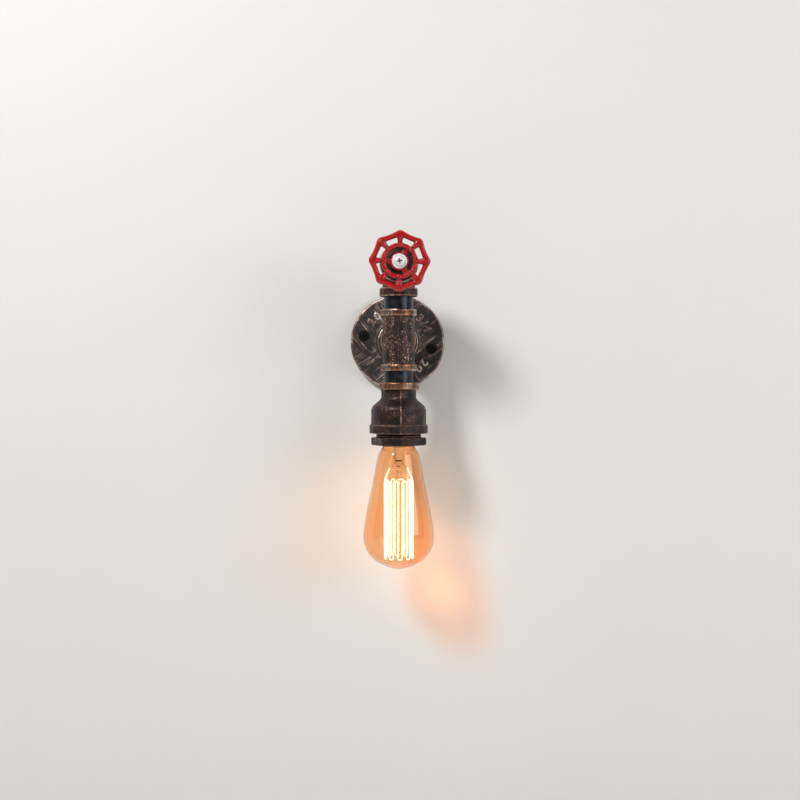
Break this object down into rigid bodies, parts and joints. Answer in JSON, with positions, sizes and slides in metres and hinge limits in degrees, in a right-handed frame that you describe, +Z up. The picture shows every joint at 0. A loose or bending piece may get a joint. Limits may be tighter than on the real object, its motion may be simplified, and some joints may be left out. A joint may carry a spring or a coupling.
{
  "type": "industrial pipe wall light",
  "caption": "Wall light built from cast pipe fittings on a round wall flange, with a red valve handwheel on top and a bare tear-shaped filament bulb hanging below.",
  "frame": {"origin": "centre of the wall flange's back face", "axes": "+Y into the wall, +Z up, +X to the right as seen by someone who faces the light"},
  "size_m": [0.0896, 0.14, 0.3024],
  "materials": {
    "cast_iron_antique": "dark antiqued bronze-black, brushed copper on raised edges",
    "pipe_black": "smooth dark bluish-black",
    "flange_antique": "antiqued black with streaky copper and silver brushing",
    "screw_black": "blackened steel",
    "enamel_red": "glossy red enamel",
    "zinc_bright": "bright zinc",
    "steel_plain": "plain steel",
    "brass": "natural brass",
    "porcelain": "glazed white",
    "black_insulator": "black glass insulator",
    "block_plastic": "pale moulded insulator",
    "bush_plastic": "soft black bush",
    "wire_line": "brown insulation",
    "wire_neutral": "blue insulation",
    "wire_earth": "green and yellow insulation",
    "cap_brass": "bright cap brass",
    "solder": "solder",
    "bulb_glass": "clear amber glass",
    "mount_glass": "clear glass stem",
    "nickel_wire": "nickel wire",
    "filament_glow": "glowing carbon filament"
  },
  "bodies": {
    "root": {"wall_flange": "flange_antique", "wall_screws": "screw_black", "branch_nipple": "pipe_black", "tee": "cast_iron_antique", "upper_nipple": "pipe_black", "elbow": "cast_iron_antique", "stem_plug": "cast_iron_antique", "lower_nipple": "pipe_black", "bell_reducer": "cast_iron_antique", "hex_bushing": "cast_iron_antique", "lampholder_body": "porcelain", "lampholder_shell": "brass", "centre_contact": "brass", "holder_terminals": "brass", "holder_terminal_screws": "steel_plain", "holder_bracket": "steel_plain", "holder_bracket_screws": "steel_plain", "holder_tube": "steel_plain", "tube_nuts": "steel_plain", "support_disc": "steel_plain", "tube_bush": "bush_plastic", "line_wire": "wire_line", "neutral_wire": "wire_neutral", "earth_wire": "wire_earth", "earth_ring_terminal": "brass", "earth_screw": "steel_plain", "terminal_block": "block_plastic", "terminal_block_tubes": "brass", "terminal_block_screws": "steel_plain"},
    "wheel": {"handwheel": "enamel_red", "wheel_stem": "steel_plain", "wheel_washer": "zinc_bright", "wheel_screw": "zinc_bright", "stem_clip": "steel_plain"},
    "bulb_carriage": {"bulb_tip_contact": "solder"},
    "bulb": {"bulb_insulator": "black_insulator", "bulb_cap": "cap_brass", "bulb_glass": "bulb_glass", "bulb_mount": "mount_glass", "filament_leads": "nickel_wire", "filament_hooks": "nickel_wire", "filament": "filament_glow"}
  },
  "joints": [
    {"name": "handwheel_turn", "type": "hinge", "parent": "root", "child": "wheel", "pos_m": [0, -0.11, 0.0675], "axis": [0, -1, 0], "continuous": true},
    {"name": "bulb_travel", "type": "slide", "parent": "root", "child": "bulb_carriage", "axis": [0, 0, -1], "range_m": [0, 0.0146]},
    {"name": "bulb_unscrew", "type": "hinge", "parent": "bulb_carriage", "child": "bulb", "pos_m": [0, -0.064, -0.1], "axis": [0, 0, -1], "range_deg": [0, 1440]}
  ],
  "couplings": [
    {"joint": "bulb_travel", "follows": "bulb_unscrew", "m_per_rad": 0.00057751}
  ]
}
